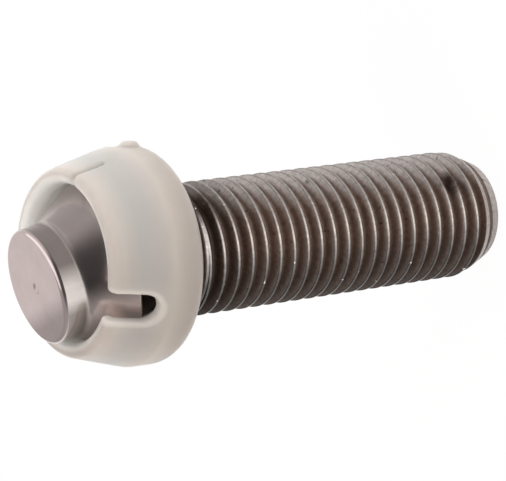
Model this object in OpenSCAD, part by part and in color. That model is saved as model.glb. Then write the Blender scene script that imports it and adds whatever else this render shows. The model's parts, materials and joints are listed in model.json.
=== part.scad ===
// Rocker arm adjusting screw with a swivelling pad, millimetres.
// The screw stands on its driven end at the origin. Its ball end points up
// and carries the pad, which a moulded snap retainer keeps on the ball.

/* [Threaded shank] */
// Outside diameter of the thread
thread_d = 10; // [9:0.1:11]
// Pitch of the thread
thread_pitch = 1.25; // [1:0.05:1.5]
// Length from the driven end to the end of the thread
thread_len = 28.3; // [20:0.1:45]
// Diameter of the flat driven end
end_face_d = 7.9; // [7.2:0.1:8.6]
// Length of the taper at the driven end
end_taper = 2.4; // [1:0.1:4]
// Hexagon socket across its flats
hex_af = 5; // [4:0.1:5.4]
// Depth of the hexagon socket
hex_depth = 5.5; // [3:0.1:8]
// Width of the bevel round the socket's mouth
hex_bevel = 0.2; // [0.1:0.05:0.3]

/* [Ball end] */
// Diameter of the ball
ball_d = 9; // [8.4:0.1:9.4]
// How far the ball stands out past its neck
ball_grip = 0.4; // [0.3:0.05:0.6]

/* [Swivel pad] */
// Diameter of the pad's flat face
pad_d = 8.64; // [8:0.05:9.6]
// Height of the pad's face above the ball's centre
pad_height = 7; // [6.6:0.1:9]
// Rounding of the pad's face edge
pad_round = 0.25; // [0.1:0.05:0.5]
// Largest diameter of the conical skirt
skirt_d = 12.4; // [11.6:0.1:13.6]
// Height of the skirt's widest edge above the ball's centre
skirt_rise = 1.9; // [1.4:0.1:2.4]
// Angle of the skirt's cone to its axis
skirt_angle = 30; // [26:1:34]
// Bevel under the skirt's widest edge
skirt_bevel = 0.25; // [0.1:0.05:0.4]
// Radius of the hollow where the stem meets the skirt
root_round = 0.7; // [0.3:0.1:1.2]
// Bevel of the ball socket's mouth
socket_bevel = 0.3; // [0.1:0.05:0.5]
// Lean of the pad on its stop, in degrees
pad_tilt = 12; // [8:1:15]

/* [Snap retainer] */
// Wall of the retainer outside its cavity
wall = 1.5; // [1.1:0.05:2]
// Length of the collar round the neck
collar_len = 1.55; // [1:0.05:2.2]
// Front edge of the plain band, above the ball's centre
band_front = 1; // [0.6:0.1:1.4]
// Back edge of the plain band, below the ball's centre
band_back = 1.2; // [0.8:0.1:1.5]
// Rounding of the shoulder behind the band
shoulder_round = 1.2; // [0.6:0.1:1.6]
// Slope of the back of the retainer
back_slope = 30; // [20:1:34]
// Thickness of the rounded lip
lip_t = 1.2; // [0.9:0.05:1.5]
// Height of the lip's centre above the throat
lip_rise = 0.78; // [0.5:0.02:1.2]
// Width of the wide slot
slot_w = 2.2; // [1.4:0.1:2.8]
// Length of the wide slot from the front of the lip
slot_len = 3.5; // [2.4:0.1:4]
// Thickness left at the wide slot's edges
slot_edge = 0.85; // [0.6:0.05:1.2]
// How far the edges of the wide slot are thinned
slot_relief = 0.9; // [0.4:0.1:1.4]
// Width of the two narrow slits
slit_w = 0.5; // [0.3:0.1:1.6]
// Length of the slits from the front of the lip
slit_len = 3; // [2:0.1:3.6]
// Angle from the wide slot to the first slit, in degrees
slit_angle = 95; // [70:1:130]
// Angle from the first slit to the second, in degrees
slit_spread = 143; // [100:1:170]
// Turn of the retainer on the screw at rest, in degrees
retainer_turn = -3; // [-20:1:20]
// Diameter of the moulding gate's stub
gate_d = 1.4; // [1:0.1:1.8]
// Height of the stub above the band
gate_h = 0.35; // [0.2:0.05:1]
// Stub's centre below the ball's centre
gate_drop = 1.1; // [0.4:0.1:1.3]
// Angle from the wide slot to the stub, in degrees
gate_angle = 110; // [30:1:170]

/* [Clearances] */
// Between the ball and the pad's socket
ball_gap = 0.05; // [0.02:0.01:0.1]
// Between the neck and the collar's bore, on the radius
collar_gap = 0.08; // [0.03:0.01:0.1]
// End play of the collar at each side
collar_play = 0.2; // [0.1:0.02:0.4]
// Between the skirt's edge and the cavity it swings in
swing_gap = 0.1; // [0.05:0.01:0.2]
// Left between the skirt and the throat when the pad is on its stop
stop_gap = 0.08; // [0.05:0.01:0.15]
// How much wider the mouth is than the skirt, on the radius
lead_in = 0.04; // [0:0.02:0.2]

/* [Hidden] */
$fn = 96;
arc_steps = 16;
// Depth of a metric external thread for one millimetre of pitch
depth_per_pitch = 0.6134;
// Cuts run past the faces they open by this much
over = 1;
hex_corner = 1 / cos(30);
drill_point = 30;

thread_r = thread_d / 2;
end_face_r = end_face_d / 2;
ball_r = ball_d / 2;
neck_r = ball_r - ball_grip;
shoulder_r = max(thread_r - depth_per_pitch * thread_pitch, neck_r);
shoulder_z = thread_len + thread_r - shoulder_r;

bore_r = neck_r + collar_gap;
collar_back_z = shoulder_z + collar_play;
collar_front_z = collar_back_z + collar_len;
ball_z = collar_front_z + collar_play + sqrt(ball_r * ball_r - bore_r * bore_r);

pad_r = pad_d / 2;
skirt_r = skirt_d / 2;
socket_r = ball_r + ball_gap;
pad_back = skirt_rise - skirt_bevel;
mouth_r = sqrt(socket_r * socket_r - pad_back * pad_back);
root_z = skirt_rise + (skirt_r - pad_r) / tan(skirt_angle);
root_reach = root_round * tan(skirt_angle / 2);

// The cavity is part of a ball in which the skirt's edge swings
cavity_r = norm([skirt_r, skirt_rise]) + swing_gap;
body_r = cavity_r + wall;

// Skirt's edge on the low side of the leaning pad, and the cone line from it
low_h = skirt_rise * cos(pad_tilt) - skirt_r * sin(pad_tilt);
low_r = skirt_r * cos(pad_tilt) + skirt_rise * sin(pad_tilt);
low_angle = skirt_angle - pad_tilt;
stop_line = low_r + low_h * tan(low_angle) + stop_gap / cos(low_angle);
stop_k = tan(low_angle);
stop_n = 1 + stop_k * stop_k;

// The throat is where that line, moved out by the stop's gap, leaves the cavity
throat_h = (stop_line * stop_k + sqrt(cavity_r * cavity_r * stop_n - stop_line * stop_line)) / stop_n;
throat_r = stop_line - stop_k * throat_h;

lip_r = lip_t / 2;
lip_ring = skirt_r + lead_in + lip_r;
lip_h = throat_h + lip_rise;
lip_front = lip_h + lip_r;
web_h = collar_front_z - ball_z;
web_r = sqrt(cavity_r * cavity_r - web_h * web_h);

back_tip = [body_r - shoulder_round * (1 - sin(back_slope)), -band_back - shoulder_round * cos(back_slope)];
back_h = collar_back_z - ball_z;
back_r = back_tip[0] - (back_tip[1] - back_h) / tan(back_slope);

// Points along an arc about centre c, from angle a to angle b
function arc(c, r, a, b) =
    [for (i = [0:arc_steps]) c + r * [cos(a + (b - a) * i / arc_steps), sin(a + (b - a) * i / arc_steps)]];

// Direction from circle centre c to where a line from point p touches it, on the given side
function touch_angle(p, c, r, side) =
    atan2(p[1] - c[1], p[0] - c[0]) + side * acos(r / norm(p - c));

// Hexagon socket with a drilled bottom and a bevelled mouth, cut up from the driven end
module hex_socket() {
    corner_d = hex_af * hex_corner;
    mouth_d = corner_d + 2 * hex_bevel;
    translate([0, 0, -over]) cylinder(d = corner_d, h = hex_depth + over, $fn = 6);
    translate([0, 0, hex_depth]) cylinder(d1 = hex_af, d2 = 0, h = hex_af / 2 * tan(drill_point));
    translate([0, 0, -over])
        cylinder(d1 = mouth_d + 2 * over, d2 = hex_af, h = over + (mouth_d - hex_af) / 2);
}

// Turned steel screw, its thread drawn as a plain cylinder at the crests
module adjusting_screw() {
    color([0.36, 0.33, 0.31]) difference() {
        union() {
            rotate_extrude() polygon([
                [0, 0], [end_face_r, 0], [thread_r, end_taper], [thread_r, thread_len],
                [shoulder_r, shoulder_z], [neck_r, shoulder_z], [neck_r, ball_z], [0, ball_z]
            ]);
            translate([0, 0, ball_z]) sphere(d = ball_d);
        }
        hex_socket();
    }
}

// Half section of the retainer, heights measured from the ball's centre
module retainer_section() {
    lip = [lip_ring, lip_h];
    throat = [throat_r, throat_h];
    band_top = [body_r, band_front];
    shoulder = [body_r - shoulder_round, -band_back];
    inner_touch = touch_angle(throat, lip, lip_r, -1);
    outer_touch = touch_angle(band_top, lip, lip_r, 1);
    polygon(concat(
        [[bore_r, back_h], [back_r, back_h]],
        arc(shoulder, shoulder_round, back_slope - 90, 0),
        [band_top],
        arc(lip, lip_r, outer_touch, inner_touch + 360),
        arc([0, 0], cavity_r, atan2(throat_h, throat_r), atan2(web_h, web_r)),
        [[bore_r, web_h]]
    ));
}

// One slot with a round end, cut back from the lip and outwards along +X
module finger_slot(w, len) {
    half = w / 2;
    translate([0, 0, ball_z + lip_front - len]) rotate([90, 0, 90]) linear_extrude(body_r + over)
        polygon(concat(arc([0, half], half, 180, 360), [[half, len + over], [-half, len + over]]));
}

// Room inside the fingers that leaves only thin edges round the wide slot
module slot_relief_cut() {
    intersection() {
        finger_slot(slot_w + 2 * slot_relief, slot_len + slot_relief);
        translate([0, 0, ball_z])
            cylinder(r1 = body_r - slot_edge, r2 = lip_ring + lip_r - slot_edge, h = lip_h - lip_r / 2);
    }
}

// Moulded snap retainer: collar, cup and sprung fingers with a rounded lip
module retainer() {
    color([0.88, 0.87, 0.83]) rotate(retainer_turn) union() {
        difference() {
            translate([0, 0, ball_z]) rotate_extrude() retainer_section();
            finger_slot(slot_w, slot_len);
            slot_relief_cut();
            for (i = [0, 1]) rotate(slit_angle + i * slit_spread) finger_slot(slit_w, slit_len);
        }
        rotate(gate_angle) translate([cavity_r + wall / 2, 0, ball_z - gate_drop])
            rotate([0, 90, 0]) cylinder(d = gate_d, h = wall / 2 + gate_h);
    }
}

// Half section of the pad, heights measured from the ball's centre
module pad_section() {
    face = [pad_r - pad_round, pad_height - pad_round];
    root = [pad_r + root_round, root_z + root_reach];
    polygon(concat(
        [[0, pad_back], [skirt_r - skirt_bevel, pad_back], [skirt_r, skirt_rise]],
        arc(root, root_round, 180 + skirt_angle, 180),
        arc(face, pad_round, 0, 90),
        [[0, pad_height]]
    ));
}

// Ground steel pad with a ball socket, leaning on its stop
module swivel_pad() {
    color([0.70, 0.67, 0.66]) translate([0, 0, ball_z]) rotate([pad_tilt, 0, 0]) difference() {
        rotate_extrude() pad_section();
        sphere(r = socket_r);
        translate([0, 0, pad_back - over]) cylinder(
            r1 = mouth_r + socket_bevel + over, r2 = mouth_r - socket_bevel, h = over + 2 * socket_bevel);
    }
}

adjusting_screw();
retainer();
swivel_pad();
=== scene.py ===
import json
import math
import bmesh
import bpy
from mathutils import Euler, Matrix, Vector


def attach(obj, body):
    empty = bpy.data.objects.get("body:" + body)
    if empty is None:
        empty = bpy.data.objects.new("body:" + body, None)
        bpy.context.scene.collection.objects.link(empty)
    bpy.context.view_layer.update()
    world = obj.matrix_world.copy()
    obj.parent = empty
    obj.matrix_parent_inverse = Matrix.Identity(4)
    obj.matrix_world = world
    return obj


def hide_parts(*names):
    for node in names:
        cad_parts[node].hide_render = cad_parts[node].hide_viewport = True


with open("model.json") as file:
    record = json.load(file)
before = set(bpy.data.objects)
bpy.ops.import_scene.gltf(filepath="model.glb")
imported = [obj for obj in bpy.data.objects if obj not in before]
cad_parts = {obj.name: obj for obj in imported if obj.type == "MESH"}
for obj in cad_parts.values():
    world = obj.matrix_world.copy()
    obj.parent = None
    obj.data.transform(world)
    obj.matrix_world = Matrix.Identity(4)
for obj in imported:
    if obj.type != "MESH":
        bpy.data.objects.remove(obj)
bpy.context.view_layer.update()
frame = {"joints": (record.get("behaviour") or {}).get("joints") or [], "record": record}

mm = 0.001  # pieces are drawn at 1 unit = 1 mm and brought to metres when done
weld = 0.0005  # joins points closer than this, in mm
mounts = {mount["name"]: mount for mount in frame["record"]["mounts"]}
joints = {joint["name"]: joint for joint in frame["joints"]}
ballZ = joints["pad_swing"]["pos_m"][2] / mm
padAxis = mounts["pad_face"]["axis"]
padLean = math.atan2(-padAxis[1], padAxis[2])


# Small hand tools

def clearSelection():
    if bpy.context.object and bpy.context.object.mode != "OBJECT":
        bpy.ops.object.mode_set(mode="OBJECT")
    bpy.ops.object.select_all(action="DESELECT")


def workOn(piece):
    clearSelection()
    piece.select_set(True)
    bpy.context.view_layer.objects.active = piece


def selectPoints(piece, wanted):
    bpy.ops.mesh.select_all(action="DESELECT")
    mesh = bmesh.from_edit_mesh(piece.data)
    for point in mesh.verts:
        point.select_set(wanted(point.co))
    mesh.select_flush_mode()
    bmesh.update_edit_mesh(piece.data)


def arcSpots(centre, radius, startAngle, endAngle, steps):
    angles = [startAngle + (endAngle - startAngle) * index / steps for index in range(steps + 1)]
    return [(centre[0] + radius * math.cos(angle), centre[1] + radius * math.sin(angle))
            for angle in angles]


def roundCorner(piece, before, corner, after):
    spot = Vector((corner[0], 0, corner[1]))
    selectPoints(piece, lambda place: (place - spot).length < weld)
    arriving = Vector(corner[:2]) - Vector(before[:2])
    turn = arriving.angle(Vector(after[:2]) - Vector(corner[:2]))
    radius, segments = corner[2:]
    bpy.ops.mesh.bevel(offset_type="OFFSET", offset=radius * math.tan(turn / 2), segments=segments,
                       affect="VERTICES", clamp_overlap=False)


def drawProfile(name, corners, closed=False):
    # a corner is (radius, height) or (radius, height, rounding, segments)
    clearSelection()
    bpy.ops.mesh.primitive_plane_add(size=1)
    piece = bpy.context.object
    piece.name = name
    bpy.ops.object.mode_set(mode="EDIT")
    bpy.ops.mesh.merge(type="CENTER")
    bpy.ops.transform.translate(value=(corners[0][0], 0, corners[0][1]))
    for last, corner in zip(corners, corners[1:]):
        step = (corner[0] - last[0], 0, corner[1] - last[1])
        bpy.ops.mesh.extrude_vertices_move(TRANSFORM_OT_translate={"value": step})
    if closed:
        mesh = bmesh.from_edit_mesh(piece.data)
        mesh.verts.ensure_lookup_table()
        mesh.verts[0].select_set(True)
        bmesh.update_edit_mesh(piece.data)
        bpy.ops.mesh.edge_face_add()
    for before, corner, after in zip(corners, corners[1:], corners[2:]):
        if len(corner) == 4:
            roundCorner(piece, before, corner, after)
    return piece


def tidyMesh():
    bpy.ops.mesh.select_all(action="SELECT")
    bpy.ops.mesh.remove_doubles(threshold=weld)
    bpy.ops.mesh.normals_make_consistent(inside=False)
    bpy.ops.object.mode_set(mode="OBJECT")


def turnOnLathe(steps):
    # spins the profile that was drawn last
    bpy.ops.mesh.select_all(action="SELECT")
    bpy.ops.mesh.spin(steps=steps, angle=math.tau, center=(0, 0, 0), axis=(0, 0, 1))
    tidyMesh()


def carve(piece, tool, operation):
    workOn(piece)
    cut = piece.modifiers.new("cut", "BOOLEAN")
    cut.operation = operation
    cut.solver = "MANIFOLD"
    cut.object = tool
    bpy.ops.object.modifier_apply(modifier=cut.name)
    bpy.data.objects.remove(tool)


def settlePiece(piece, body, node, material, creaseDegrees):
    workOn(piece)
    piece.location *= mm
    piece.scale = (mm, mm, mm)
    bpy.ops.object.transform_apply(location=True, rotation=True, scale=True)
    bpy.ops.object.shade_smooth_by_angle(angle=math.radians(creaseDegrees))
    piece.data.materials.clear()
    piece.data.materials.append(material)
    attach(piece, body)
    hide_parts(node)
    print("made", piece.name, "with", len(piece.data.polygons), "faces")


# Camera and studio

cameraSetup = {
    "place": (0.14193, 0.07229, 0.12750),
    "right": (0.55252, 0.13018, -0.82327),
    "up": (-0.38298, 0.91694, -0.11204),
    "back": (0.74030, 0.37720, 0.55648),
    "lens": 180.4,
    "sensor": 36.0,
}
viewRight = Vector(cameraSetup["right"])
viewUp = Vector(cameraSetup["up"])
viewBack = Vector(cameraSetup["back"])

clearSelection()
bpy.ops.object.camera_add()
camera = bpy.context.object
camera.name = "photoCamera"
turned = Matrix((viewRight, viewUp, viewBack)).transposed()
camera.matrix_world = Matrix.Translation(Vector(cameraSetup["place"])) @ turned.to_4x4()
camera.data.lens = cameraSetup["lens"]
camera.data.sensor_width = cameraSetup["sensor"]
camera.data.sensor_fit = "HORIZONTAL"
camera.data.clip_start = 0.01
bpy.context.scene.camera = camera
bpy.context.scene.view_settings.view_transform = "Standard"
print("camera stands at", tuple(round(value, 4) for value in camera.location))

studio = {
    "aim": (0, 0, 0.026),
    "floorSize": 6.0,
    "floorColour": (0.95, 0.95, 0.95, 1),
    "floorRoughness": 0.9,
    "floorGlow": 0.96,  # share of the floor that shows as plain white
    # light of the room by height in the view, from below (0) to above (1)
    "roomByHeight": ((0.0, 0.45), (0.2, 0.38), (0.3675, 0.44), (0.369, 0.75), (0.85, 0.68), (1.0, 0.6)),
    # share of it by depth, from behind the part (0) to the camera's side (1)
    "roomByDepth": ((0.0, 1.0), (0.7, 1.0), (0.8, 0.75), (0.875, 0.4), (0.94, 0.16), (1.0, 0.12)),
    "roomTint": (1.0, 0.975, 0.955, 1),
}
# each lamp: place along the view's right, up and back in metres,
# then size, power, colour and whether metal mirrors it
lamps = {
    "topBox": ((0.0, 0.38, 0.27), (0.36, 0.26), 1.5, (1.0, 0.985, 0.965), False),
    "frontFill": ((-0.32, -0.28, 0.38), (0.3, 0.3), 1.35, (1.0, 0.98, 0.96), False),
    "rightFill": ((0.25, 0.12, 0.42), (0.3, 0.3), 0.12, (1.0, 1.0, 1.0), False),
    "lowBounce": ((0.05, -0.40, 0.16), (0.5, 0.3), 0.36, (1.0, 0.72, 0.50), False),
    "leftBox": ((-0.50, -0.02, 0.10), (0.42, 0.8), 0.6, (1.0, 1.0, 1.0), True),
    "backGlow": ((-0.30, 0.20, -0.28), (0.3, 0.3), 1.1, (1.0, 1.0, 1.0), False),
}


def addLamp(name, offset, size, power, tint, mirrored):
    aim = Vector(studio["aim"])
    place = aim + viewRight * offset[0] + viewUp * offset[1] + viewBack * offset[2]
    clearSelection()
    bpy.ops.object.light_add(type="AREA", location=place)
    lamp = bpy.context.object
    lamp.name = name
    lamp.rotation_euler = (aim - place).to_track_quat("-Z", "Y").to_euler()
    lamp.data.shape = "RECTANGLE"
    lamp.data.size = size[0]
    lamp.data.size_y = size[1]
    lamp.data.energy = power
    lamp.data.color = tint
    lamp.visible_camera = False
    lamp.visible_glossy = mirrored


for lampName, lampSetup in lamps.items():
    addLamp(lampName, *lampSetup)


# Node helpers

def link(tree, fromNode, fromSocket, toNode, toSocket):
    tree.links.new(fromNode.outputs[fromSocket], toNode.inputs[toSocket])


def addNode(tree, kind, inputs=None, **settings):
    node = tree.nodes.new(kind)
    for name, value in settings.items():
        setattr(node, name, value)
    for name, value in (inputs or {}).items():
        node.inputs[name].default_value = value
    return node


def addRamp(tree, stops):
    # a stop is (position, grey) or (position, (red, green, blue))
    ramp = addNode(tree, "ShaderNodeValToRGB")
    stopsLeft = list(ramp.color_ramp.elements)
    for index, (position, shade) in enumerate(stops):
        stop = stopsLeft[index] if index < 2 else ramp.color_ramp.elements.new(position)
        stop.position = position
        stop.color = (*shade, 1) if isinstance(shade, tuple) else (shade, shade, shade, 1)
    return ramp


def buildWorld():
    world = bpy.data.worlds.new("softStudio")
    bpy.context.scene.world = world
    world.use_nodes = True
    tree = world.node_tree
    coords = addNode(tree, "ShaderNodeTexCoord")
    shares = []
    for axis, stops in ((viewUp, studio["roomByHeight"]), (viewBack, studio["roomByDepth"])):
        along = addNode(tree, "ShaderNodeVectorMath", {1: axis}, operation="DOT_PRODUCT")
        place = addNode(tree, "ShaderNodeMapRange", {"From Min": -1})
        ramp = addRamp(tree, stops)
        link(tree, coords, "Generated", along, 0)
        link(tree, along, "Value", place, "Value")
        link(tree, place, "Result", ramp, "Fac")
        shares.append(ramp)
    level = addNode(tree, "ShaderNodeMath", operation="MULTIPLY")
    link(tree, shares[0], "Color", level, 0)
    link(tree, shares[1], "Color", level, 1)
    background = tree.nodes["Background"]
    background.inputs["Color"].default_value = studio["roomTint"]
    link(tree, level, "Value", background, "Strength")


def buildFloor():
    clearSelection()
    bpy.ops.mesh.primitive_plane_add(size=studio["floorSize"])
    floor = bpy.context.object
    floor.name = "studioFloor"
    paint = bpy.data.materials.new("floorPaint")
    paint.use_nodes = True
    tree = paint.node_tree
    surface = tree.nodes["Principled BSDF"]
    surface.inputs["Base Color"].default_value = studio["floorColour"]
    surface.inputs["Roughness"].default_value = studio["floorRoughness"]
    glow = addNode(tree, "ShaderNodeEmission")
    rays = addNode(tree, "ShaderNodeLightPath")
    seen = addNode(tree, "ShaderNodeMath", operation="ADD", use_clamp=True)
    seenThrough = addNode(tree, "ShaderNodeMath", operation="ADD", use_clamp=True)
    share = addNode(tree, "ShaderNodeMath", {1: studio["floorGlow"]}, operation="MULTIPLY")
    mix = addNode(tree, "ShaderNodeMixShader")
    link(tree, rays, "Is Camera Ray", seen, 0)
    link(tree, rays, "Is Glossy Ray", seen, 1)
    link(tree, seen, "Value", seenThrough, 0)
    link(tree, rays, "Is Transmission Ray", seenThrough, 1)
    link(tree, seenThrough, "Value", share, 0)
    link(tree, share, "Value", mix, "Fac")
    link(tree, surface, "BSDF", mix, 1)
    link(tree, glow, "Emission", mix, 2)
    link(tree, mix, "Shader", tree.nodes["Material Output"], "Surface")
    floor.data.materials.append(paint)


buildWorld()
buildFloor()
print("studio is lit by", len(lamps), "lamps")


# Finish helpers

def newFinish(name):
    material = bpy.data.materials.new(name)
    material.use_nodes = True
    return material, material.node_tree, material.node_tree.nodes["Principled BSDF"]


def addNoise(tree, coords, size, detail=4.0, roughness=0.6):
    # size is the width of one blotch in mm
    noise = addNode(tree, "ShaderNodeTexNoise", {
        "Scale": 1 / (size * mm), "Detail": detail, "Roughness": roughness})
    link(tree, coords, "Object", noise, "Vector")
    return noise


def addMix(tree, blend="MIX", factor=None):
    mix = addNode(tree, "ShaderNodeMixRGB", blend_type=blend)
    if factor is not None:
        mix.inputs["Fac"].default_value = factor
    return mix


# Threaded screw

screwShape = {
    "threadR": mounts["thread"]["dims"]["r_mm"],
    "pitch": 1.25,
    "crestAtX": 0.413,  # height of a crest on the +X side
    "crestFlat": 0.19,
    "crestRound": 0.045,
    "rootR": 4.233,
    "rootFlat": 0.34,
    "rootRound": 0.17,
    "turns": 30,  # rolled past both ends, then cut to length
    "turnsBelow": 3,
    "threadSteps": 120,
    "threadEnd": 28.3,
    "runOutLow": 27.3,  # the last groove rises from here
    "runOutHigh": 28.1,
    "endFaceR": 3.95,
    "endTaper": 2.4,
    "endRound": 0.15,
    "shoulderZ": 29.067,
    "neckR": 4.1,
    "ballR": 4.5,
    "blankSteps": 120,
    "hexFlats": 5.0,
    "hexDepth": 5.5,
    "hexBevel": 0.2,
    "drillPoint": 30,
    "drillSteps": 64,
    "slack": 0.002,  # keeps the crests clear of the blank that trims them
}

threadFinish = {
    "rootR": 4.25,
    "crestR": 5.0,
    "upSide": (-0.385, 0.923, 0),  # side of the shank facing the light: painted lighter and dusty there, painted darker on the far side
    # steel from the root of the thread (0) to the top of its flank (1): painted shade, darkest in the
    # groove, with brown oil at the root
    "flank": (
        (0.0, (0.20, 0.138, 0.110)), (0.2, (0.21, 0.148, 0.120)), (0.55, (0.31, 0.234, 0.20)),
        (0.92, (0.46, 0.365, 0.32)),
    ),
    # crest with a painted highlight, from the under side (0) to the lit side (1), darkest on the under side
    "crest": (
        (0.0, (0.13, 0.115, 0.11)), (0.25, (0.2, 0.18, 0.17)), (0.4, (0.46, 0.42, 0.40)),
        (0.53, (0.80, 0.72, 0.66)), (0.66, (0.56, 0.50, 0.47)), (0.78, (0.34, 0.31, 0.295)),
        (0.9, (0.29, 0.267, 0.256)),
    ),
    # painted top light: the lit side's flanks paler, with matte dust
    "dry": (0.48, 0.44, 0.425, 1),
    "dryMetal": 0.35,
    "dryRoughness": 0.7,
    "oil": (0.055, 0.033, 0.024, 1),
    # middle of each oil blotch and how far it spreads, in mm
    "oilSpots": (((2.0, 4.4, 27.6), 2.0), ((2.7, 4.1, 4.6), 1.3)),
    "oilFrom": 22.8,
    "oilTo": 27.8,
    "oilShare": 0.75,
    "pits": ((0.25, 0.5), (0.31, 1.0)),
    "nicks": ((0.70, 0.0), (0.75, 1.0)),
    "bright": (0.95, 0.90, 0.86, 1),
    "metal": ((0.0, 0.35), (0.3, 0.9), (0.5, 1.0)),
    "roughness": ((0.0, 0.6), (0.3, 0.45), (0.85, 0.38), (1.0, 0.26)),
    # width of speckles, of the ragged edge of oil and of wear marks, in mm
    "speckleSize": 0.3,
    "ragSize": 0.8,
    "wearSize": 0.55,
    "endSteel": (0.44, 0.40, 0.385, 1),
    "endFrom": 1.6,
    "endTo": 2.5,
}


def screwSteelFinish(look):
    material, tree, surface = newFinish("oiledThreadSteel")
    coords = addNode(tree, "ShaderNodeTexCoord")
    place = addNode(tree, "ShaderNodeSeparateXYZ")
    flat = addNode(tree, "ShaderNodeVectorMath", {1: (1, 1, 0)}, operation="MULTIPLY")
    radius = addNode(tree, "ShaderNodeVectorMath", operation="LENGTH")
    depth = addNode(tree, "ShaderNodeMapRange",
                    {"From Min": look["rootR"] * mm, "From Max": look["crestR"] * mm})
    along = addNode(tree, "ShaderNodeVectorMath", {1: look["upSide"]}, operation="DOT_PRODUCT")
    side = addNode(tree, "ShaderNodeMapRange",
                   {"From Min": -look["crestR"] * mm, "From Max": look["crestR"] * mm})
    link(tree, coords, "Object", place, "Vector")
    link(tree, coords, "Object", flat, 0)
    link(tree, flat, "Vector", radius, 0)
    link(tree, radius, "Value", depth, "Value")
    link(tree, coords, "Object", along, 0)
    link(tree, along, "Value", side, "Value")

    # flanks: painted shade darkening the grooves; painted top light, paler and dusty, where the lit side
    # stands clear of the root
    flank = addRamp(tree, look["flank"])
    onLitTop = addRamp(tree, ((0.72, 0.0), (0.9, 1.0)))
    aboveRoot = addRamp(tree, ((0.2, 0.15), (0.55, 1.0)))
    dustAndTopLightShare = addNode(tree, "ShaderNodeMath", operation="MULTIPLY")
    dustAndTopLit = addMix(tree)
    dustAndTopLit.inputs["Color2"].default_value = look["dry"]
    link(tree, depth, "Result", flank, "Fac")
    link(tree, side, "Result", onLitTop, "Fac")
    link(tree, depth, "Result", aboveRoot, "Fac")
    link(tree, onLitTop, "Color", dustAndTopLightShare, 0)
    link(tree, aboveRoot, "Color", dustAndTopLightShare, 1)
    link(tree, dustAndTopLightShare, "Value", dustAndTopLit, "Fac")
    link(tree, flank, "Color", dustAndTopLit, "Color1")

    # oil that has run out of the retainer into the first grooves
    nearRetainer = addNode(tree, "ShaderNodeMapRange", {
        "From Min": look["oilFrom"] * mm, "From Max": look["oilTo"] * mm, "To Max": look["oilShare"]})
    grooved = addMix(tree)
    grooved.inputs["Color2"].default_value = look["oil"]
    link(tree, place, "Z", nearRetainer, "Value")
    link(tree, nearRetainer, "Result", grooved, "Fac")
    link(tree, dustAndTopLit, "Color", grooved, "Color1")

    # painted highlight on the crests, and painted shade on the under side
    crest = addRamp(tree, look["crest"])
    onCrest = addRamp(tree, ((0.88, 0.0), (0.95, 1.0)))
    steel = addMix(tree)
    underShade = addRamp(tree, ((0.05, 0.5), (0.45, 1.0)))
    shaded = addMix(tree, "MULTIPLY", 1)
    link(tree, side, "Result", crest, "Fac")
    link(tree, depth, "Result", onCrest, "Fac")
    link(tree, onCrest, "Color", steel, "Fac")
    link(tree, grooved, "Color", steel, "Color1")
    link(tree, crest, "Color", steel, "Color2")
    link(tree, side, "Result", underShade, "Fac")
    link(tree, steel, "Color", shaded, "Color1")
    link(tree, underShade, "Color", shaded, "Color2")

    # bare taper at the driven end
    onThread = addNode(tree, "ShaderNodeMapRange",
                       {"From Min": look["endFrom"] * mm, "From Max": look["endTo"] * mm})
    taperR = addNode(tree, "ShaderNodeMapRange", {
        "From Max": screwShape["endTaper"] * mm, "To Min": screwShape["endFaceR"] * mm,
        "To Max": screwShape["threadR"] * mm})
    sunk = addNode(tree, "ShaderNodeMath", operation="SUBTRACT")
    inGroove = addNode(tree, "ShaderNodeMapRange", {"From Min": 0.03 * mm, "From Max": 0.1 * mm})
    threadShare = addNode(tree, "ShaderNodeMath", operation="MAXIMUM")
    ended = addMix(tree)
    ended.inputs["Color1"].default_value = look["endSteel"]
    link(tree, place, "Z", onThread, "Value")
    link(tree, place, "Z", taperR, "Value")
    link(tree, taperR, "Result", sunk, 0)
    link(tree, radius, "Value", sunk, 1)
    link(tree, sunk, "Value", inGroove, "Value")
    link(tree, onThread, "Result", threadShare, 0)
    link(tree, inGroove, "Result", threadShare, 1)
    link(tree, threadShare, "Value", ended, "Fac")
    link(tree, shaded, "Color", ended, "Color2")

    # oil blotches with ragged edges
    rag = addNoise(tree, coords, look["ragSize"], detail=5)
    oiled = ended
    for spot, spread in look["oilSpots"]:
        gap = addNode(tree, "ShaderNodeVectorMath", {1: Vector(spot) * mm}, operation="DISTANCE")
        fade = addNode(tree, "ShaderNodeMapRange",
                       {"From Min": spread * mm, "From Max": 0.35 * spread * mm, "To Max": 2.0})
        share = addNode(tree, "ShaderNodeMath", operation="MULTIPLY", use_clamp=True)
        spotted = addMix(tree)
        spotted.inputs["Color2"].default_value = look["oil"]
        link(tree, coords, "Object", gap, 0)
        link(tree, gap, "Value", fade, "Value")
        link(tree, fade, "Result", share, 0)
        link(tree, rag, "Fac", share, 1)
        link(tree, share, "Value", spotted, "Fac")
        link(tree, oiled, "Color", spotted, "Color1")
        oiled = spotted

    # fine speckle all over
    speckle = addNoise(tree, coords, look["speckleSize"], detail=6)
    speckleRange = addNode(tree, "ShaderNodeMapRange",
                           {"From Min": 0.3, "From Max": 0.7, "To Min": 0.72, "To Max": 1.18})
    tinted = addMix(tree, "MULTIPLY", 1)
    link(tree, speckle, "Fac", speckleRange, "Value")
    link(tree, oiled, "Color", tinted, "Color1")
    link(tree, speckleRange, "Result", tinted, "Color2")
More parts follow.
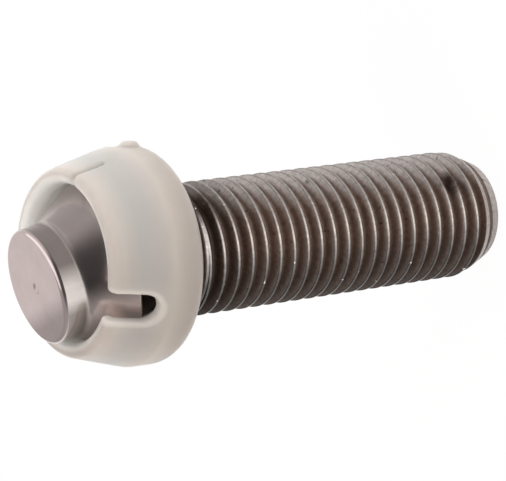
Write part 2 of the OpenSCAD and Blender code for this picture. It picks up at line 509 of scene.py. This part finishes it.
    # pits, and bright nicks on the crests
    wear = addNoise(tree, coords, look["wearSize"], detail=1.5)
    pits = addRamp(tree, look["pits"])
    nicks = addRamp(tree, look["nicks"])
    nickShare = addNode(tree, "ShaderNodeMath", operation="MULTIPLY")
    pitted = addMix(tree, "MULTIPLY", 1)
    nicked = addMix(tree)
    nicked.inputs["Color2"].default_value = look["bright"]
    link(tree, wear, "Fac", pits, "Fac")
    link(tree, wear, "Fac", nicks, "Fac")
    link(tree, nicks, "Color", nickShare, 0)
    link(tree, onCrest, "Color", nickShare, 1)
    link(tree, tinted, "Color", pitted, "Color1")
    link(tree, pits, "Color", pitted, "Color2")
    link(tree, pitted, "Color", nicked, "Color1")
    link(tree, nickShare, "Value", nicked, "Fac")
    link(tree, nicked, "Color", surface, "Base Color")

    metal = addRamp(tree, look["metal"])
    rough = addRamp(tree, look["roughness"])
    matte = []
    for bare, dusty in ((metal, look["dryMetal"]), (rough, look["dryRoughness"])):
        dusted = addMix(tree)
        dusted.inputs["Color2"].default_value = (dusty, dusty, dusty, 1)
        link(tree, depth, "Result", bare, "Fac")
        link(tree, dustAndTopLightShare, "Value", dusted, "Fac")
        link(tree, bare, "Color", dusted, "Color1")
        matte.append(dusted)
    link(tree, matte[0], "Color", surface, "Metallic")
    link(tree, matte[1], "Color", surface, "Roughness")
    return material


def threadRod(shape):
    half = shape["pitch"] / 2
    crest = shape["crestFlat"] / 2
    root = shape["rootFlat"] / 2
    low = shape["crestAtX"] - shape["turnsBelow"] * shape["pitch"] - half
    outer, inner = shape["threadR"], shape["rootR"]
    corners = [
        (inner, low),
        (inner, low + root, shape["rootRound"], 4),
        (outer, low + half - crest, shape["crestRound"], 3),
        (outer, low + half + crest, shape["crestRound"], 3),
        (inner, low + 2 * half - root, shape["rootRound"], 4),
        (inner, low + 2 * half),
    ]
    rod = drawProfile("threadRod", corners)
    bpy.ops.object.mode_set(mode="OBJECT")
    rolled = rod.modifiers.new("rolled", "SCREW")
    rolled.axis = "Z"
    rolled.angle = math.tau
    rolled.screw_offset = shape["pitch"]
    rolled.iterations = shape["turns"]
    rolled.steps = shape["threadSteps"]
    rolled.render_steps = shape["threadSteps"]
    rolled.use_merge_vertices = True
    rolled.merge_threshold = weld
    bpy.ops.object.modifier_apply(modifier=rolled.name)
    bpy.ops.object.mode_set(mode="EDIT")
    bpy.ops.mesh.select_all(action="SELECT")
    bpy.ops.mesh.remove_doubles(threshold=weld)
    for height, keepAbove in ((-1, True), (shape["shoulderZ"] + 1, False)):
        bpy.ops.mesh.select_all(action="SELECT")
        bpy.ops.mesh.bisect(plane_co=(0, 0, height), plane_no=(0, 0, 1), use_fill=True,
                            clear_inner=keepAbove, clear_outer=not keepAbove)
    tidyMesh()
    return rod


def makeScrew(shape):
    rod = threadRod(shape)
    reach = shape["threadR"] + shape["slack"]
    drop = shape["threadR"] - shape["rootR"]
    blank = drawProfile("shankBlank", [
        (0, 0), (shape["endFaceR"], 0, shape["endRound"], 3), (reach, shape["endTaper"]),
        (reach, shape["threadEnd"]), (reach - drop, shape["shoulderZ"]), (0, shape["shoulderZ"]),
    ])
    turnOnLathe(shape["blankSteps"])
    runOut = drawProfile("runOut", [
        (0, shape["runOutLow"] - 0.2), (shape["rootR"] - 0.1, shape["runOutLow"] - 0.2),
        (shape["rootR"], shape["runOutLow"]), (shape["threadR"], shape["runOutHigh"]),
        (shape["threadR"], shape["shoulderZ"] + 0.5), (0, shape["shoulderZ"] + 0.5),
    ])
    turnOnLathe(shape["blankSteps"])
    carve(rod, runOut, "UNION")
    carve(rod, blank, "INTERSECT")
    neckAngle = -math.acos(shape["neckR"] / shape["ballR"])
    ball = drawProfile("ballEnd", [
        (0, shape["shoulderZ"] - 2), (shape["neckR"], shape["shoulderZ"] - 2),
        *arcSpots((0, ballZ), shape["ballR"], neckAngle, math.pi / 2, 28),
    ])
    turnOnLathe(shape["blankSteps"])
    carve(rod, ball, "UNION")
    cornerR = shape["hexFlats"] / math.sqrt(3)
    depth = shape["hexDepth"]
    clearSelection()
    bpy.ops.mesh.primitive_cylinder_add(vertices=6, radius=cornerR, depth=depth + 1,
                                        location=(0, 0, (depth - 1) / 2))
    key = bpy.context.object
    bpy.ops.object.transform_apply(location=True, rotation=True, scale=True)
    carve(rod, key, "DIFFERENCE")
    drillR = shape["hexFlats"] / 2 - 0.01
    drillTip = depth + drillR * math.tan(math.radians(shape["drillPoint"]))
    drill = drawProfile("drillPoint", [(0, depth - 1), (drillR, depth - 1), (drillR, depth), (0, drillTip)])
    turnOnLathe(shape["drillSteps"])
    carve(rod, drill, "DIFFERENCE")
    mouth = cornerR + shape["hexBevel"]
    bevel = drawProfile("mouthBevel", [(0, -1), (mouth + 1, -1), (mouth - 1, 1), (0, 1)])
    turnOnLathe(shape["drillSteps"])
    carve(rod, bevel, "DIFFERENCE")
    rod.name = "threadedScrew"
    settlePiece(rod, "screw", "adjusting_screw", screwSteelFinish(threadFinish), 32)
    return rod


makeScrew(screwShape)


# Swivel pad

padShape = {
    "faceR": 4.32,
    "faceHeight": 7.0,
    "faceRound": 0.34,
    "skirtR": 6.2,
    "skirtRise": 1.9,
    "skirtAngle": 30,
    "skirtBevel": 0.25,
    "rootRound": 0.7,
    "socketR": 4.55,
    "mouthBevel": 0.3,
    "edgeRound": 0.06,
    "mouthRound": 0.04,
    # centre mark of the face: radius, and height above the face
    "dimple": ((0, -0.022), (0.12, -0.018), (0.3, 0.004), (0.42, 0), (0.52, 0)),
    "steps": 160,
}


groundFinish = {
    # colour and roughness by height above the ball's centre, from the skirt (0) to the face (1)
    "low": 1.5,
    "high": 7.1,
    "shades": (
        (0.0, (0.46, 0.405, 0.395)), (0.60, (0.465, 0.405, 0.395)), (0.68, (0.70, 0.64, 0.61)),
        (0.93, (0.74, 0.675, 0.635)), (0.96, (0.72, 0.61, 0.605)), (1.0, (0.72, 0.61, 0.605)),
    ),
    "roughness": ((0.0, 0.26), (0.66, 0.24), (0.93, 0.2), (0.97, 0.17), (0.979, 0.03), (1.0, 0.03)),
    "rubbed": (0.75, 0.63, 0.60, 1),  # painted light on the skirt's +X side, where it shows through the slot
    "rubFrom": 4.3,
    "rubTo": 5.1,
    "film": (0.22, 0.185, 0.175, 1),  # painted shade on the stem
    # share of the painted shade across the stem, from its -Y side (0) to its +Y side (1)
    "filmAcross": ((0.0, 0.9), (0.45, 0.8), (0.58, 0.0), (0.70, 0.0), (0.85, 1.0)),
    "stemR": 4.32,
    "cloudSize": 2.2,
}


def padSteelFinish(look):
    material, tree, surface = newFinish("groundPadSteel")
    surface.inputs["Metallic"].default_value = 1
    coords = addNode(tree, "ShaderNodeTexCoord")
    onPad = addNode(tree, "ShaderNodeMapping",
                    {"Location": (0, 0, ballZ * mm), "Rotation": (padLean, 0, 0)}, vector_type="TEXTURE")
    place = addNode(tree, "ShaderNodeSeparateXYZ")
    height = addNode(tree, "ShaderNodeMapRange",
                     {"From Min": look["low"] * mm, "From Max": look["high"] * mm})
    shades = addRamp(tree, look["shades"])
    rough = addRamp(tree, look["roughness"])
    link(tree, coords, "Object", onPad, "Vector")
    link(tree, onPad, "Vector", place, "Vector")
    link(tree, place, "Z", height, "Value")
    link(tree, height, "Result", shades, "Fac")
    link(tree, height, "Result", rough, "Fac")
    # painted light on the +X side of the skirt, seen through the slot
    slotLightShare = addNode(tree, "ShaderNodeMapRange",
                       {"From Min": look["rubFrom"] * mm, "From Max": look["rubTo"] * mm})
    rubbed = addMix(tree)
    rubbed.inputs["Color2"].default_value = look["rubbed"]
    link(tree, place, "X", slotLightShare, "Value")
    link(tree, slotLightShare, "Result", rubbed, "Fac")
    link(tree, shades, "Color", rubbed, "Color1")
    # the painted shade leaves a gap for the bright streak and stops at the face
    across = addNode(tree, "ShaderNodeMapRange",
                     {"From Min": -look["stemR"] * mm, "From Max": look["stemR"] * mm})
    streak = addRamp(tree, look["filmAcross"])
    belowFace = addRamp(tree, ((0.0, 0.0), (0.62, 0.0), (0.7, 1.0), (0.93, 1.0), (0.955, 0.0)))
    stemShadeShare = addNode(tree, "ShaderNodeMath", operation="MULTIPLY")
    stemShaded = addMix(tree)
    stemShaded.inputs["Color2"].default_value = look["film"]
    link(tree, place, "Y", across, "Value")
    link(tree, across, "Result", streak, "Fac")
    link(tree, height, "Result", belowFace, "Fac")
    link(tree, streak, "Color", stemShadeShare, 0)
    link(tree, belowFace, "Color", stemShadeShare, 1)
    link(tree, stemShadeShare, "Value", stemShaded, "Fac")
    link(tree, rubbed, "Color", stemShaded, "Color1")
    # faint cloudiness of handled steel
    cloud = addNoise(tree, coords, look["cloudSize"], detail=5)
    cloudRange = addNode(tree, "ShaderNodeMapRange",
                         {"From Min": 0.3, "From Max": 0.7, "To Min": 0.93, "To Max": 1.05})
    clouded = addMix(tree, "MULTIPLY", 1)
    link(tree, cloud, "Fac", cloudRange, "Value")
    link(tree, stemShaded, "Color", clouded, "Color1")
    link(tree, cloudRange, "Result", clouded, "Color2")
    link(tree, clouded, "Color", surface, "Base Color")
    link(tree, rough, "Color", surface, "Roughness")
    return material


def makePad(shape):
    cone = math.tan(math.radians(shape["skirtAngle"]))
    rootZ = shape["skirtRise"] + (shape["skirtR"] - shape["faceR"]) / cone
    back = shape["skirtRise"] - shape["skirtBevel"]
    mouthR = math.sqrt(shape["socketR"] ** 2 - back ** 2) + shape["mouthBevel"]
    bevelSum = mouthR + back
    bevelTop = (bevelSum - math.sqrt(2 * shape["socketR"] ** 2 - bevelSum ** 2)) / 2
    socketStart = math.asin(bevelTop / shape["socketR"])
    top = shape["faceHeight"]
    pad = drawProfile("swivelPad", [
        *((radius, top + rise) for radius, rise in shape["dimple"]),
        (shape["faceR"] - 2 * shape["faceRound"], top), (shape["faceR"] - 1.2 * shape["faceRound"], top),
        (shape["faceR"], top, shape["faceRound"], 8),
        (shape["faceR"], rootZ, shape["rootRound"], 6),
        (shape["skirtR"], shape["skirtRise"], shape["edgeRound"], 3),
        (shape["skirtR"] - shape["skirtBevel"], back, shape["edgeRound"], 3),
        (mouthR, back, shape["mouthRound"], 3),
        *arcSpots((0, 0), shape["socketR"], socketStart, math.pi / 2, 24),
    ])
    turnOnLathe(shape["steps"])
    pad.rotation_euler = (padLean, 0, 0)
    pad.location = (0, 0, ballZ)
    settlePiece(pad, "pad", "swivel_pad", padSteelFinish(groundFinish), 32)
    return pad


makePad(padShape)


# Snap retainer

retainerShape = {
    "boreR": 4.25,
    "backZ": 29.267,
    "webZ": 30.817,
    "backR": 5.45,
    "bodyR": 8.06,
    "cavityR": 6.7,
    "bandFront": 0.35,
    "bandBack": 1.35,
    "shoulderRound": 1.2,
    "backSlope": 30,
    "throatR": 5.76,
    "throatH": 3.422,
    "lipR": 0.6,
    "lipRing": 6.37,
    "lipH": 4.232,
    "turn": -5.3,  # degrees the retainer rests turned on the screw
    "lean": -1.2,  # degrees it hangs crooked on the neck, within its play
    "slide": 0.06,  # mm it sits towards +Y
    "slotW": 2.2,
    "slotLen": 3.7,
    "slotEdge": 0.85,  # thickness left round the wide slot
    "slotRelief": 0.9,
    "slitW": 0.42,
    "slitLen": 2.6,
    "slitAngles": (97.3, 240.3),
    "gateR": 0.7,
    "gateH": 0.35,
    "gateRound": 0.22,
    "gateSteps": 40,
    "gateDrop": 1.1,
    "gateAngle": 112.3,
    "steps": 180,
    "voxel": 0.12,
    "softening": 10,
}
cupTurn = Euler((math.radians(retainerShape["lean"]), 0, math.radians(retainerShape["turn"])))
neckMiddle = Vector((0, 0, (retainerShape["backZ"] + retainerShape["webZ"]) / 2))
cupPlace = neckMiddle - cupTurn.to_matrix() @ neckMiddle + Vector((0, retainerShape["slide"], 0))

milkyFinish = {
    # colour of the cup from the back of its collar (0) to the front of its lip (1), with painted shade:
    # darkest at the back of the collar, darker over the cavity where steel lies behind the thin wall and at
    # the front of the lip
    "wall": (
        (0.0, (0.29, 0.255, 0.235)), (0.25, (0.44, 0.395, 0.36)), (0.42, (0.57, 0.52, 0.475)),
        (0.58, (0.52, 0.495, 0.47)), (0.70, (0.51, 0.495, 0.475)), (0.84, (0.58, 0.54, 0.50)),
        (0.90, (0.57, 0.515, 0.475)), (0.95, (0.48, 0.425, 0.39)),
    ),
    "wallFrom": 29,
    "wallTo": 38,
    # painted light: pale glow round the slot and inside the lip
    "edge": (0.93, 0.865, 0.80, 1),
    "band": 0.5,  # mm of painted pale glow round the slot
    "bandShare": 0.3,
    "innerR": 6.25,  # painted light: the inside of the lip is as pale, against the shade there
    "milkSize": 4.0,
    "roughness": 0.36,
    "scatter": (0.92, 0.96, 1.0),
    "scatterReach": 0.0035,
    "coat": 0.12,
    "coatRoughness": 0.25,
}


def nylonFinish(look):
    material, tree, surface = newFinish("milkyNylon")
    surface.inputs["Roughness"].default_value = look["roughness"]
    surface.inputs["Subsurface Radius"].default_value = look["scatter"]
    surface.inputs["Subsurface Scale"].default_value = look["scatterReach"]
    surface.inputs["Coat Weight"].default_value = look["coat"]
    surface.inputs["Coat Roughness"].default_value = look["coatRoughness"]
    coords = addNode(tree, "ShaderNodeTexCoord")
    # painted shade of the steel behind the thin wall and at the back of the collar, and painted light round
    # the slot and inside the lip
    onCup = addNode(tree, "ShaderNodeMapping", {"Location": cupPlace * mm, "Rotation": cupTurn},
                    vector_type="TEXTURE")
    place = addNode(tree, "ShaderNodeSeparateXYZ")
    height = addNode(tree, "ShaderNodeMapRange",
                     {"From Min": look["wallFrom"] * mm, "From Max": look["wallTo"] * mm})
    wall = addRamp(tree, look["wall"])
    # painted light: pale band round the wide slot
    slotHalf = retainerShape["slotW"] / 2
    slotMiddle = ballZ + retainerShape["lipH"] + retainerShape["lipR"] - retainerShape["slotLen"] + slotHalf
    below = addNode(tree, "ShaderNodeMapRange", {
        "From Min": (slotMiddle - 9) * mm, "From Max": slotMiddle * mm, "To Min": -9 * mm, "To Max": 0})
    fromSlot = addNode(tree, "ShaderNodeCombineXYZ")
    slotGap = addNode(tree, "ShaderNodeVectorMath", operation="LENGTH")
    slotGlow = addNode(tree, "ShaderNodeMapRange", {
        "From Min": (slotHalf + look["band"]) * mm, "From Max": (slotHalf + 0.6 * look["band"]) * mm,
        "To Max": look["bandShare"]})
    slotSide = addNode(tree, "ShaderNodeMath", {1: 0.0}, operation="GREATER_THAN")
    bandShare = addNode(tree, "ShaderNodeMath", operation="MULTIPLY")
    flat = addNode(tree, "ShaderNodeVectorMath", {1: (1, 1, 0)}, operation="MULTIPLY")
    radius = addNode(tree, "ShaderNodeVectorMath", operation="LENGTH")
    inside = addNode(tree, "ShaderNodeMapRange", {
        "From Min": (look["innerR"] + 0.2) * mm, "From Max": (look["innerR"] - 0.2) * mm})
    aboveCollar = addNode(tree, "ShaderNodeMapRange", {"From Min": 30.6 * mm, "From Max": 31 * mm})
    innerGlowShare = addNode(tree, "ShaderNodeMath", operation="MULTIPLY")
    paleShare = addNode(tree, "ShaderNodeMath", operation="MAXIMUM")
    glowPainted = addMix(tree)
    glowPainted.inputs["Color2"].default_value = look["edge"]
    link(tree, place, "Z", below, "Value")
    link(tree, place, "Y", fromSlot, "X")
    link(tree, below, "Result", fromSlot, "Y")
    link(tree, fromSlot, "Vector", slotGap, 0)
    link(tree, slotGap, "Value", slotGlow, "Value")
    link(tree, place, "X", slotSide, 0)
    link(tree, slotGlow, "Result", bandShare, 0)
    link(tree, slotSide, "Value", bandShare, 1)
    link(tree, onCup, "Vector", flat, 0)
    link(tree, flat, "Vector", radius, 0)
    link(tree, radius, "Value", inside, "Value")
    link(tree, place, "Z", aboveCollar, "Value")
    link(tree, inside, "Result", innerGlowShare, 0)
    link(tree, aboveCollar, "Result", innerGlowShare, 1)
    link(tree, bandShare, "Value", paleShare, 0)
    link(tree, innerGlowShare, "Value", paleShare, 1)
    link(tree, paleShare, "Value", glowPainted, "Fac")
    link(tree, wall, "Color", glowPainted, "Color1")
    # where the glow is painted round the slot, the cup scatters less and lets less of the dark inside
    # through
    milkiness = addNode(tree, "ShaderNodeMapRange", {"To Min": 1.0, "To Max": 0.1})
    clearness = addNode(tree, "ShaderNodeMapRange", {"To Min": 0.15, "To Max": 0.0})
    link(tree, bandShare, "Value", milkiness, "Value")
    link(tree, bandShare, "Value", clearness, "Value")
    link(tree, milkiness, "Result", surface, "Subsurface Weight")
    link(tree, clearness, "Result", surface, "Transmission Weight")
    milk = addNoise(tree, coords, look["milkSize"], detail=3)
    milkRange = addNode(tree, "ShaderNodeMapRange",
                        {"From Min": 0.3, "From Max": 0.7, "To Min": 0.96, "To Max": 1.02})
    shades = addMix(tree, "MULTIPLY", 1)
    link(tree, coords, "Object", onCup, "Vector")
    link(tree, onCup, "Vector", place, "Vector")
    link(tree, place, "Z", height, "Value")
    link(tree, height, "Result", wall, "Fac")
    link(tree, milk, "Fac", milkRange, "Value")
    link(tree, glowPainted, "Color", shades, "Color1")
    link(tree, milkRange, "Result", shades, "Color2")
    link(tree, shades, "Color", surface, "Base Color")
    return material


def touchAngle(spot, centre, radius, side):
    away = Vector(spot) - Vector(centre)
    return math.atan2(away.y, away.x) + side * math.acos(radius / away.length)


def slotCutter(shape, width, length):
    # a rod along +X whose upper half is drawn up past the lip
    half = width / 2
    middle = ballZ + shape["lipH"] + shape["lipR"] - length + half
    reach = shape["bodyR"] + 1
    clearSelection()
    bpy.ops.mesh.primitive_cylinder_add(vertices=48, radius=half, depth=reach)
    cutter = bpy.context.object
    cutter.location = (reach / 2, 0, middle)
    cutter.rotation_euler.y = math.pi / 2
    bpy.ops.object.transform_apply(location=True, rotation=True, scale=True)
    bpy.ops.object.mode_set(mode="EDIT")
    selectPoints(cutter, lambda spot: spot.z > middle + weld)
    bpy.ops.transform.translate(value=(0, 0, length))
    bpy.ops.object.mode_set(mode="OBJECT")
    return cutter


def reliefCutter(shape):
    lowR = shape["bodyR"] - shape["slotEdge"]
    highR = shape["lipRing"] + shape["lipR"] - shape["slotEdge"]
    top = ballZ + shape["lipH"] - shape["lipR"] / 2
    core = drawProfile("fingerRoom", [(0, ballZ), (lowR, ballZ), (highR, top), (0, top)])
    turnOnLathe(shape["steps"])
    relief = shape["slotRelief"]
    carve(core, slotCutter(shape, shape["slotW"] + 2 * relief, shape["slotLen"] + relief), "INTERSECT")
    return core


def makeRetainer(shape):
    lip = (shape["lipRing"], shape["lipH"])
    bandTop = (shape["bodyR"], shape["bandFront"])
    throat = (shape["throatR"], shape["throatH"])
    webH = shape["webZ"] - ballZ
    backH = shape["backZ"] - ballZ
    webAngle = math.asin(webH / shape["cavityR"])
    throatAngle = math.atan2(shape["throatH"], shape["throatR"])
    lipStart = touchAngle(bandTop, lip, shape["lipR"], 1)
    lipEnd = touchAngle(throat, lip, shape["lipR"], -1) + math.tau
    shoulder = (shape["bodyR"] - shape["shoulderRound"], -shape["bandBack"])
    slope = math.radians(shape["backSlope"])
    outline = [(shape["boreR"], backH), (shape["backR"], backH)]
    outline += arcSpots(shoulder, shape["shoulderRound"], slope - math.pi / 2, 0, 10)
    outline.append(bandTop)
    outline += arcSpots(lip, shape["lipR"], lipStart, lipEnd, 14)
    outline += arcSpots((0, 0), shape["cavityR"], throatAngle, webAngle, 24)
    outline.append((shape["boreR"], webH))
    cup = drawProfile("snapRetainer", [(r, h + ballZ) for r, h in outline], closed=True)
    turnOnLathe(shape["steps"])

    carve(cup, slotCutter(shape, shape["slotW"], shape["slotLen"]), "DIFFERENCE")
    carve(cup, reliefCutter(shape), "DIFFERENCE")
    for angle in shape["slitAngles"]:
        slit = slotCutter(shape, shape["slitW"], shape["slitLen"])
        slit.rotation_euler.z = math.radians(angle)
        carve(cup, slit, "DIFFERENCE")

    gateFoot = (shape["cavityR"] + shape["bodyR"]) / 2
    gateTop = shape["bodyR"] + shape["gateH"]
    stub = drawProfile("gateStub", [
        (0, gateFoot), (shape["gateR"], gateFoot),
        (shape["gateR"], gateTop, shape["gateRound"], 4), (0, gateTop),
    ])
    turnOnLathe(shape["gateSteps"])
    stub.rotation_euler = (0, math.pi / 2, math.radians(shape["gateAngle"]))
    stub.location.z = ballZ - shape["gateDrop"]
    carve(cup, stub, "UNION")

    workOn(cup)
    grain = cup.modifiers.new("grain", "REMESH")
    grain.mode = "VOXEL"
    grain.voxel_size = shape["voxel"]
    bpy.ops.object.modifier_apply(modifier=grain.name)
    soften = cup.modifiers.new("soften", "SMOOTH")
    soften.factor = 0.5
    soften.iterations = shape["softening"]
    bpy.ops.object.modifier_apply(modifier=soften.name)
    cup.rotation_euler = cupTurn
    cup.location = cupPlace
    settlePiece(cup, "retainer", "retainer", nylonFinish(milkyFinish), 60)
    return cup


makeRetainer(retainerShape)
